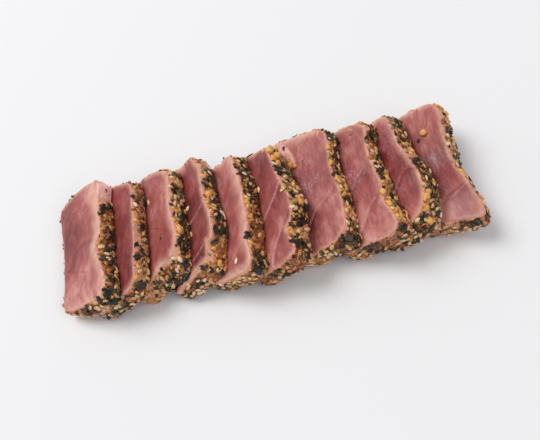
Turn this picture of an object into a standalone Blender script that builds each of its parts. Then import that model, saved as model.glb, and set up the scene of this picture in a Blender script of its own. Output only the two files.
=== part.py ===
"""Seared tuna steak, crusted on its outside and cut across into ten slices.

The slices still lie in the order they were cut, tipped over like fallen books: each one
stands on its lower edge and leans to the right on the next one. X runs along the row, Y
along a slice from its near end to its back end, Z up. The tables are in millimetres and
degrees, and the mesh is written in metres.
"""

import math

import bmesh
import bpy
from mathutils import Vector

MM = 0.001
ROW_NAME = "seared_tuna_steak"

GAP = 0.35              # air between a slice and the cut face it leans on
FOOT_FLAT = 1.0         # how far the lower edge is pressed flat by the slice's weight
END_SWELL = 1.0         # how far the underside reaches past the cut face at the back end
SIDE_BULGE = 0.7        # swelling of the seared sides, half way between the two cuts
CORNER = 3.5            # radius of the corners that no table entry rounds further
THINNEST = 4.0          # no slice gets thinner than this where it lies on the next one
STEP_RAMP = 2.0         # length over which the step in a raised edge reaches its depth

# Lines across the row where the width of a slice is given.
NEAR_LINE, BELLY_LINE, WAIST_LINE, BACK_LINE = -33.0, -15.0, 1.0, 13.0
MIDDLE_LINE = -7.0      # skew and twist turn about this line
HALF_LENGTH = 28.0      # skew and twist are what a slice gains from there to its end

COLUMNS, ROWS, LAYERS = 9, 18, 2     # faces across, along and through a slice
END_CROWDING = 0.09     # how much closer the columns and rows stand near the edges

# One entry per slice, from the left end of the row.
#   foot    where the lower edge stands          lean    angle of the cut face
#   thick   thickness at the lower edge          skew    sideways run of the foot
#   twist   gain in lean towards the back        droop   loss of lean at the near end
#   near, back    cut face's ends: at its lower edge, its middle and its raised edge
#   near_low      the same line on the underside, where the seared end slopes out
#   width   cut face at the near, belly, waist and back lines
#   step    where the near muscle starts: its place, its depth and how far it runs out
#   round   radius of the near corner on the raised side
#   hollow  how far the lower edge is drawn in, half way along it
#   knob    a lump on the back end: how far across, its height and its half width
SLICES = [
    dict(foot=-88.7, lean=33.6, thick=8.0, skew=0.2, twist=-1.1,
         near=(-32.0, -35.0, -33.8), near_low=(-33.0, -37.0, -37.0), back=(20.0, 23.5, 22.5),
         width=(30.8, 29.2, 29.1, 28.9), step=(-6.5, 5.0, 18.0), hollow=2.0),
    dict(foot=-73.4, lean=33.7, thick=8.1, skew=0.9, twist=-0.7,
         near=(-37.5, -36.0, -32.5), near_low=(-38.0, -38.0, -36.5), back=(23.5, 21.0, 17.0),
         width=(27.3, 29.0, 28.8, 28.8), step=(-17.5, 1.6, 12.0)),
    dict(foot=-53.9, lean=37.4, thick=9.2, skew=0.2, twist=-0.7,
         near=(-36.5, -28.3, -24.5), near_low=(-36.5, -34.0, -33.5), back=(19.5, 21.3, 16.5),
         width=(27.5, 30.5, 28.9, 30.0)),
    dict(foot=-37.2, lean=38.4, thick=9.6, skew=-0.5, twist=-1.9,
         near=(-37.5, -33.3, -30.5), near_low=(-38.0, -37.0, -35.5), back=(24.5, 21.0, 17.5),
         width=(26.5, 30.5, 28.0, 28.0), step=(-21.5, 3.2, 12.0), knob=(21.7, 2.4, 2.6)),
    dict(foot=-20.1, lean=39.2, thick=9.9, skew=1.5, twist=0.8,
         near=(-36.0, -39.3, -39.5), near_low=(-37.0, -40.5, -41.0), back=(16.5, 17.6, 17.5),
         width=(27.8, 28.8, 28.5, 26.0), step=(-23.5, 2.4, 8.0)),
    dict(foot=-2.1, lean=39.2, thick=10.8, skew=0.6, twist=-0.4,
         near=(-38.5, -40.3, -38.8), near_low=(-39.5, -41.0, -41.0), back=(19.0, 18.6, 16.5),
         width=(28.8, 31.7, 27.2, 25.0), step=(-23.3, 4.8, 12.0)),
    dict(foot=17.1, lean=33.8, thick=8.9, skew=0.2, twist=1.8,
         near=(-34.5, -34.6, -31.8), near_low=(-36.0, -37.5, -38.0), back=(27.0, 23.2, 18.3),
         width=(28.4, 29.8, 29.0, 31.2)),
    dict(foot=37.4, lean=41.8, thick=8.9, skew=-0.6, twist=0.9,
         near=(-37.0, -38.2, -39.6), near_low=(-38.0, -40.5, -41.5), back=(19.5, 19.5, 14.8),
         width=(31.2, 30.0, 28.9, 32.0), step=(-19.5, 3.6, 16.0)),
    dict(foot=54.0, lean=43.0, thick=10.5, skew=-1.8, twist=-0.5,
         near=(-38.0, -36.0, -33.0), near_low=(-39.0, -39.5, -37.0), back=(16.0, 17.5, 16.8),
         width=(30.0, 30.8, 27.4, 28.0), round=11.0),
    dict(foot=69.6, lean=35.5, thick=9.4, skew=-0.1, twist=0.5, droop=13.0,
         near=(-33.0, -36.0, -39.8), near_low=(-35.0, -38.0, -40.5), back=(20.0, 20.8, 18.0),
         width=(28.6, 26.6, 28.0, 30.0)),
]

FLESH_COLORS = [(0.56, 0.17, 0.15), (0.47, 0.12, 0.12)]     # slices take them in turn
FLESH_ROUGHNESS = 0.42


def ease(fraction):
    """Smooth step from 0 to 1."""
    fraction = min(1.0, max(0.0, fraction))
    return fraction * fraction * (3.0 - 2.0 * fraction)


def crowd(fraction):
    """The same 0 to 1, with its steps closer together at both ends."""
    return fraction - END_CROWDING * math.sin(math.tau * fraction)


def lean_at(piece, y):
    """Angle of the cut face from the board, in radians."""
    along = (y - MIDDLE_LINE) / HALF_LENGTH
    droop = piece.get("droop", 0.0) * ease(0.1 - along)
    return math.radians(piece["lean"] + piece["twist"] * along - droop)


def lower_edge(piece, y):
    """X and Z of the cut face's lower edge."""
    lean = lean_at(piece, y)
    foot = piece["foot"] + piece["skew"] * (y - MIDDLE_LINE) / HALF_LENGTH
    return foot - piece["thick"] * math.sin(lean), piece["thick"] * math.cos(lean) - FOOT_FLAT


def face_point(piece, across, y):
    """A point of the cut face, counted up from its lower edge."""
    lean = lean_at(piece, y)
    x, z = lower_edge(piece, y)
    return Vector((x + across * math.cos(lean), y, z + across * math.sin(lean)))


def height_over(piece, point):
    """Distance of a point above the plane of a slice's cut face."""
    lean = lean_at(piece, point.y)
    x, z = lower_edge(piece, point.y)
    return (point.z - z) * math.cos(lean) - (point.x - x) * math.sin(lean)


def under_point(piece, following, across, y):
    """The point of the underside below a face point: on the next slice, or clear of it."""
    top = face_point(piece, across, y)
    lean = lean_at(piece, y)
    depth = piece["thick"]
    if following:
        turn = math.cos(lean - lean_at(following, y))
        depth = min(depth, (height_over(following, top) - GAP) / turn)
    depth = max(depth, THINNEST)
    return top + depth * Vector((math.sin(lean), 0.0, -math.cos(lean)))


def full_width(piece, y):
    """Width of the slice, eased from one of its four lines to the next."""
    lines = (NEAR_LINE, BELLY_LINE, WAIST_LINE, BACK_LINE)
    widths = piece["width"]
    for start, end, low, high in zip(lines, lines[1:], widths, widths[1:]):
        if y < end or end == BACK_LINE:
            return low + (high - low) * ease((y - start) / (end - start))


def face_width(piece, y):
    """Width of the cut face, with the step where the near muscle starts."""
    width = full_width(piece, y)
    if "step" in piece:
        place, depth, run = piece["step"]
        past = place - y
        width -= depth * ease(past / STEP_RAMP) * max(0.0, 1.0 - past / run)
    return width


def through(ends, fraction):
    """The parabola through three values, given at 0, a half and 1."""
    low, middle, high = ends
    bend = 4.0 * middle - 2.0 * (low + high)
    return low + (high - low) * fraction + bend * fraction * (1.0 - fraction)


def rounded(distance, radius):
    """How far a corner of this radius pulls the end in, so far from the side."""
    inside = min(1.0, max(0.0, 1.0 - distance / radius))
    return radius * (1.0 - math.sqrt(1.0 - inside * inside))


def end_lines(piece, fraction, near):
    """Y of the near and the back end, this far across the slice."""
    width = full_width(piece, MIDDLE_LINE)
    from_side = width * min(fraction, 1.0 - fraction)
    near_radius = piece.get("round", CORNER) if fraction > 0.5 else CORNER
    front = through(near, fraction) + rounded(from_side, near_radius)
    rear = through(piece["back"], fraction) - rounded(from_side, CORNER)
    if "knob" in piece:
        place, height, half_width = piece["knob"]
        rear += height * ease(1.0 - abs(width * fraction - place) / half_width)
    return front, rear


def slice_point(piece, following, across, along, up):
    """Where a point of the unit block goes: 0 to 1 across, along and up through a slice."""
    drawn_in = piece.get("hollow", 0.0) * 4.0 * along * (1.0 - along)

    front, rear = end_lines(piece, across, piece["near"])
    y = front + (rear - front) * along
    top = face_point(piece, drawn_in + across * (face_width(piece, y) - drawn_in), y)

    front, rear = end_lines(piece, across, piece["near_low"])
    y = front + (rear + END_SWELL - front) * along
    bottom = under_point(piece, following, across * full_width(piece, y), y)

    lean = lean_at(piece, y)
    sideways = (across == 1.0) - (across == 0.0)
    endways = (along == 1.0) - (along == 0.0)
    outward = Vector((sideways * math.cos(lean), endways, sideways * math.sin(lean)))
    swell = SIDE_BULGE * 4.0 * up * (1.0 - up)
    return bottom.lerp(top, up) + swell * outward.normalized()


def unit_block():
    """A cube cut into faces across, along and through, standing from 0 to 1 each way."""
    mesh = bmesh.new()
    bmesh.ops.create_cube(mesh, size=1.0)
    for axis, count in enumerate((COLUMNS, ROWS, LAYERS)):
        along_axis = [edge for edge in mesh.edges
                      if abs(edge.verts[0].co[axis] - edge.verts[1].co[axis]) > 0.5]
        bmesh.ops.subdivide_edges(mesh, edges=along_axis, cuts=count - 1, use_grid_fill=True)
    for vert in mesh.verts:
        vert.co = [round((value + 0.5) * count) / count
                   for value, count in zip(vert.co, (COLUMNS, ROWS, LAYERS))]
    return mesh


def press_flat(mesh):
    """Cut off what lies below the board and close the slice with a flat face there."""
    everything = mesh.verts[:] + mesh.edges[:] + mesh.faces[:]
    bmesh.ops.bisect_plane(mesh, geom=everything, plane_co=(0, 0, 0), plane_no=(0, 0, 1),
                           clear_inner=True)
    open_edges = [edge for edge in mesh.edges if edge.is_boundary]
    bmesh.ops.holes_fill(mesh, edges=open_edges, sides=0)
    bmesh.ops.recalc_face_normals(mesh, faces=mesh.faces[:])


def flesh_material(name, color):
    """Raw tuna flesh of the given colour."""
    material = bpy.data.materials.new(name)
    material.use_nodes = True
    shader = material.node_tree.nodes["Principled BSDF"]
    shader.inputs["Base Color"].default_value = (*color, 1.0)
    shader.inputs["Roughness"].default_value = FLESH_ROUGHNESS
    shader.inputs["Metallic"].default_value = 0.0
    return material


def make_slice(number, piece, following, collection):
    """One slice, its origin on the board at its foot."""
    name = f"slice_{number:02d}"
    foot = Vector((piece["foot"], 0.0, 0.0))
    block = unit_block()
    for vert in block.verts:
        across, along, up = vert.co
        point = slice_point(piece, following, crowd(across), crowd(along), up)
        vert.co = (point - foot) * MM
    press_flat(block)

    mesh = bpy.data.meshes.new(name)
    block.to_mesh(mesh)
    block.free()
    mesh.shade_smooth()
    mesh.set_sharp_from_angle(angle=math.radians(40))
    mesh.materials.append(flesh_material(f"{name}_flesh", FLESH_COLORS[number % 2]))
    item = bpy.data.objects.new(name, mesh)
    item.location = foot * MM
    collection.objects.link(item)
    return item


def centre_over_origin(items):
    """Slide the whole row until the middle of its outline stands over the origin."""
    corners = [item.location + vert.co for item in items for vert in item.data.vertices]
    middle = Vector((0.0, 0.0, 0.0))
    for axis in (0, 1):
        values = [corner[axis] for corner in corners]
        middle[axis] = (min(values) + max(values)) / 2.0
    for item in items:
        item.location -= middle


def main():
    for item in list(bpy.data.objects):
        bpy.data.objects.remove(item, do_unlink=True)
    collection = bpy.data.collections.new(ROW_NAME)
    bpy.context.scene.collection.children.link(collection)
    followers = SLICES[1:] + [None]
    items = [make_slice(number, piece, following, collection)
             for number, (piece, following) in enumerate(zip(SLICES, followers), start=1)]
    centre_over_origin(items)


main()
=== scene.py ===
# Seared tuna steak in ten slices, with its crust of sesame, toasted crumbs, seaweed and herbs.
# Lengths are in millimetres here, and are turned into Blender's metres where they are read and written.
import math
import random

import bpy
import numpy as np
from mathutils import Matrix, Vector, kdtree, noise


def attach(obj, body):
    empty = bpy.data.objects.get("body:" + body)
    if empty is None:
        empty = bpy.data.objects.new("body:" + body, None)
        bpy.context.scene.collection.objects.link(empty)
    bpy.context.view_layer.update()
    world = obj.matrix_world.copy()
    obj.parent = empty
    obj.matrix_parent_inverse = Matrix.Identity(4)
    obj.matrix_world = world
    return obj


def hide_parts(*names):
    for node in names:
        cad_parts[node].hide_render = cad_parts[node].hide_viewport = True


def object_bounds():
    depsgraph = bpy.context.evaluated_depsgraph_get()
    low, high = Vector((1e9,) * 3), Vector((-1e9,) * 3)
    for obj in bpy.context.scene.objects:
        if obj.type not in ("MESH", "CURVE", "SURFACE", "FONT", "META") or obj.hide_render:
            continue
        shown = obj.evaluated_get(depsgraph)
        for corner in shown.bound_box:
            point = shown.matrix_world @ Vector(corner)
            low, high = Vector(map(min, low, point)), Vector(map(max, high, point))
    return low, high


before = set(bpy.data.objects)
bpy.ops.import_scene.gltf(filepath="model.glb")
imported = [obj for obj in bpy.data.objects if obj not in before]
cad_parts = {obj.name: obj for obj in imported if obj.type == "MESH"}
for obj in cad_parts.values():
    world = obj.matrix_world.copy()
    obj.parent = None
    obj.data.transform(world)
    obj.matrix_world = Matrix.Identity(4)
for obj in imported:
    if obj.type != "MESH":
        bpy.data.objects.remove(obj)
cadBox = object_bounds()
mm = 0.001


def deselectAll():
    if bpy.context.object and bpy.context.object.mode != 'OBJECT':
        bpy.ops.object.mode_set(mode='OBJECT')
    bpy.ops.object.select_all(action='DESELECT')


def pick(piece):
    deselectAll()
    piece.select_set(True)
    bpy.context.view_layer.objects.active = piece


def applyModifier(piece, kind, **settings):
    pick(piece)
    modifier = piece.modifiers.new(kind.title(), kind)
    for name, value in settings.items():
        setattr(modifier, name, value)
    bpy.ops.object.modifier_apply(modifier=modifier.name)


def selectPoints(piece, test):
    # in object mode, select the vertices whose place passes the test, then go to edit mode
    pick(piece)
    bpy.ops.object.mode_set(mode='EDIT')
    bpy.ops.mesh.select_mode(type='VERT')
    bpy.ops.mesh.select_all(action='DESELECT')
    bpy.ops.object.mode_set(mode='OBJECT')
    for vertex in piece.data.vertices:
        vertex.select = test(vertex.co)
    bpy.ops.object.mode_set(mode='EDIT')


def smoothStep(low, high, values):
    # from 0 at low to 1 at high, which may be the smaller one
    t = np.clip((values - low) / (high - low), 0.0, 1.0)
    return t * t * (3.0 - 2.0 * t)


def readPoints(mesh):
    points = np.empty(len(mesh.vertices) * 3)
    mesh.vertices.foreach_get("co", points)
    return points.reshape(-1, 3) / mm


def readNormals(mesh):
    normals = np.empty(len(mesh.vertices) * 3)
    mesh.vertices.foreach_get("normal", normals)
    return normals.reshape(-1, 3)


def writePoints(mesh, points):
    mesh.vertices.foreach_set("co", (points * mm).ravel())
    mesh.update()


def writeAttribute(mesh, name, values):
    kind, field = ('FLOAT', "value") if values.ndim == 1 else ('FLOAT_VECTOR', "vector")
    attribute = mesh.attributes.new(name, kind, 'POINT')
    attribute.data.foreach_set(field, values.astype(np.float32).ravel())


def lumps(points, size, salt):
    # smooth noise between about -1 and 1, with lumps of this size
    scaled = points / np.asarray(size, dtype=float) + salt * 17.3
    return np.array([noise.noise(Vector(point)) for point in scaled.tolist()])


class Field:
    # a socket that varies over a surface; arithmetic on it adds Math nodes
    def __init__(self, finish, socket):
        self.finish = finish
        self.socket = socket

    def __add__(self, other):
        return self.finish.maths('ADD', self, other)

    def __radd__(self, other):
        return self.finish.maths('ADD', other, self)

    def __sub__(self, other):
        return self.finish.maths('SUBTRACT', self, other)

    def __rsub__(self, other):
        return self.finish.maths('SUBTRACT', other, self)

    def __mul__(self, other):
        return self.finish.maths('MULTIPLY', self, other)

    def __rmul__(self, other):
        return self.finish.maths('MULTIPLY', other, self)


class Finish:
    # one material while it is being wired
    def __init__(self, name, **constants):
        self.material = bpy.data.materials.new(name)
        self.material.use_nodes = True
        self.tree = self.material.node_tree
        self.shader = self.tree.nodes["Principled BSDF"]
        for socket, value in constants.items():
            self.shader.inputs[socket.replace("_", " ")].default_value = value

    def feed(self, socket, value):
        if isinstance(value, Field):
            self.tree.links.new(value.socket, socket)
        else:
            socket.default_value = value

    def add(self, kind, settings, values, output=0):
        node = self.tree.nodes.new(kind)
        for name, value in settings.items():
            if name == "stops":
                self.setStops(node.color_ramp.elements, value)
            else:
                setattr(node, name, value)
        for name, value in values.items():
            self.feed(node.inputs[name], value)
        return Field(self, node.outputs[output])

    def maths(self, operation, first, second):
        return self.add('ShaderNodeMath', dict(operation=operation), {0: first, 1: second})

    def between(self, value, low, high):
        settings = dict(interpolation_type='SMOOTHSTEP', clamp=True)
        return self.add('ShaderNodeMapRange', settings, {"Value": value, "From Min": low, "From Max": high})

    def mix(self, factor, first, second, blend='MIX'):
        settings = dict(data_type='RGBA', blend_type=blend, clamp_factor=True)
        return self.add('ShaderNodeMix', settings, {0: factor, 6: first, 7: second}, 2)

    def attribute(self, name, output=2):
        return self.add('ShaderNodeAttribute', dict(attribute_name=name), {}, output)

    def stretch(self, vector, factors, shift=(0, 0, 0)):
        return self.add('ShaderNodeMapping', {}, {"Vector": vector, "Scale": factors, "Location": shift})

    def noise(self, vector, scale, detail=2.0, rough=0.5):
        values = {"Vector": vector, "Scale": scale, "Detail": detail, "Roughness": rough}
        return self.add('ShaderNodeTexNoise', {}, values)

    def setStops(self, elements, stops):
        while len(elements) < len(stops):
            elements.new(0.5)
        for element, (place, color) in zip(elements, stops):
            element.position = place
            element.color = color

    def ramp(self, value, stops):
        return self.add('ShaderNodeValToRGB', dict(stops=stops), {"Fac": value})

    def bump(self, height, strength, distance, under=None):
        values = {"Height": height, "Strength": strength, "Distance": distance}
        if under:
            values["Normal"] = under
        return self.add('ShaderNodeBump', {}, values)

    def wire(self, **fields):
        for socket, value in fields.items():
            self.feed(self.shader.inputs[socket.replace("_", " ")], value)
        return self.material


def srgb(red, green, blue):
    # an 8-bit screen colour as Blender's linear one
    def linear(value):
        value /= 255.0
        return value / 12.92 if value <= 0.04045 else ((value + 0.055) / 1.055) ** 2.4
    return (linear(red), linear(green), linear(blue), 1.0)


fleshColors = dict(
    pale=srgb(213, 146, 136), rose=srgb(167, 88, 83), deep=srgb(120, 45, 45), wine=srgb(84, 20, 22),
    lilac=srgb(172, 96, 112), salmon=srgb(192, 106, 90), crimson=srgb(146, 48, 44), seam=srgb(226, 164, 166),
    # sheen and glint are painted highlights of the damp-looking flesh
    sheen=srgb(200, 148, 160), glint=srgb(238, 206, 210), cooked=srgb(226, 172, 156),
    # raw is pale unseared flesh, painted paler still as light on the shaded raised side
    raw=srgb(252, 192, 182), edge=srgb(228, 176, 132), bare=srgb(234, 172, 146), toasted=srgb(176, 104, 58),
    burnt=srgb(46, 27, 19),
)


def makeFleshFinish():
    c = fleshColors
    f = Finish("seared_tuna_flesh", Metallic=0.0, Coat_Roughness=0.16, Coat_IOR=1.4,
               Specular_IOR_Level=0.28, Subsurface_Weight=0.10, Subsurface_Scale=0.002,
               Subsurface_Radius=(1.0, 0.35, 0.25))
    place = f.attribute("onSlice", 1)
    tone, band, edge, seam = (f.attribute(name) for name in ("tone", "band", "edge", "seam"))
    wall, toast, moist, red = (f.attribute(name) for name in ("wall", "toast", "moist", "red"))

    clouds = f.noise(f.stretch(place, (0.17, 0.10, 0.17)), 1.0, 3.0, 0.55)
    blotch = f.noise(f.stretch(place, (0.42, 0.22, 0.3), (40, 0, 0)), 1.0, 3.0)
    fibre = f.noise(f.stretch(place, (0.9, 0.22, 0.5)), 1.0, 4.0, 0.6)
    hair = f.noise(f.stretch(place, (2.5, 1.1, 1.5)), 1.0, 3.0, 0.6)
    speck = f.noise(place, 1.6, 3.0, 0.6)

    depth = tone + (clouds - 0.5) * 1.2 + (blotch - 0.5) * 0.7 + (fibre - 0.5) * 0.3 + (hair - 0.5) * 0.24
    meat = f.ramp(depth * 0.8, [(0.0, c["pale"]), (0.4, c["rose"]), (0.8, c["deep"]), (1.0, c["wine"])])
    meat = f.mix(f.between(blotch, 0.50, 0.70) * 0.15, meat, c["lilac"])
    meat = f.mix(f.between(clouds, 0.50, 0.70) * 0.14, meat, c["salmon"])
    meat = f.mix(f.between(hair, 0.58, 0.75) * 0.08, meat, c["pale"])
    meat = f.mix(red * f.between(blotch, 0.2, 0.65) * 0.8, meat, c["crimson"])
    meat = f.mix(seam * f.between(blotch, 0.3, 0.55) * f.between(speck, 0.3, 0.6) * 0.8, meat, c["seam"])
    # painted sheen: pale cloudy patches broken into streaks, standing in for the lamps' reflection on damp flesh
    sheenNoise = f.noise(f.stretch(place, (0.30, 0.17, 0.3), (9, 30, 0)), 1.0, 3.0, 0.6)
    sheenHaze = f.between(sheenNoise + (moist - 0.4) * 0.4, 0.50, 0.72)
    streak = f.noise(f.stretch(place, (1.3, 0.45, 1.0), (0, 30, 0)), 1.0, 4.0, 0.6)
    wetSheen = sheenHaze * (0.45 + f.between(streak, 0.45, 0.65) * 0.55)
    meat = f.mix(wetSheen * moist * 0.45, meat, c["sheen"])
    # painted glints: small pale specks inside the painted sheen
    glintNoise = f.noise(f.stretch(place, (2.0, 1.0, 1.3), (70, 0, 0)), 1.0, 3.0, 0.65)
    meat = f.mix(f.between(glintNoise, 0.56, 0.70) * (0.25 + sheenHaze) * moist * 0.8, meat, c["glint"])

    patchy = f.between(f.noise(place, 0.30, 3.0, 0.6), 0.25, 0.6)
    meat = f.mix(band * (0.6 + patchy * 0.4), meat, c["cooked"])
    # raw spots: pale unseared flesh, painted paler still as painted light on the shaded raised side
    meat = f.mix(f.between(band, 1.2, 2.0), meat, c["raw"])
    meat = f.mix(edge * patchy * f.between(band, 0.0, 0.5), meat, c["edge"])

    mottle = f.noise(place, 0.7, 4.0, 0.65)
    sear = f.ramp(toast + (mottle - 0.5) * 1.1,
                  [(0.2, c["bare"]), (0.6, c["toasted"]), (1.0, c["burnt"])])
    color = f.mix(f.between(wall + (speck - 0.5) * 0.5, 0.3, 0.6), meat, sear)

    height = fibre * 0.4 + hair * 0.3 + speck * 0.5 + streak * 0.5
    grain = f.bump(height, 0.45, 0.0005)
    rough = f.bump(f.noise(place, 1.3, 4.0, 0.6), 0.6, 0.0008, grain)
    normal = f.mix(wall, grain, rough)
    return f.wire(Base_Color=color, Roughness=0.34 + speck * 0.16 + wall * 0.2 - moist * 0.12,
                  Coat_Weight=0.22 - wall * 0.1 + moist * 0.45, Normal=normal)


# what a slice has none of, unless its own entry says so
plainLooks = dict(wetSheen=[], red=[], deeper=[], seams=[], cracks=[], notches=[], flap=[], bare=[], raw=[])
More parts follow.
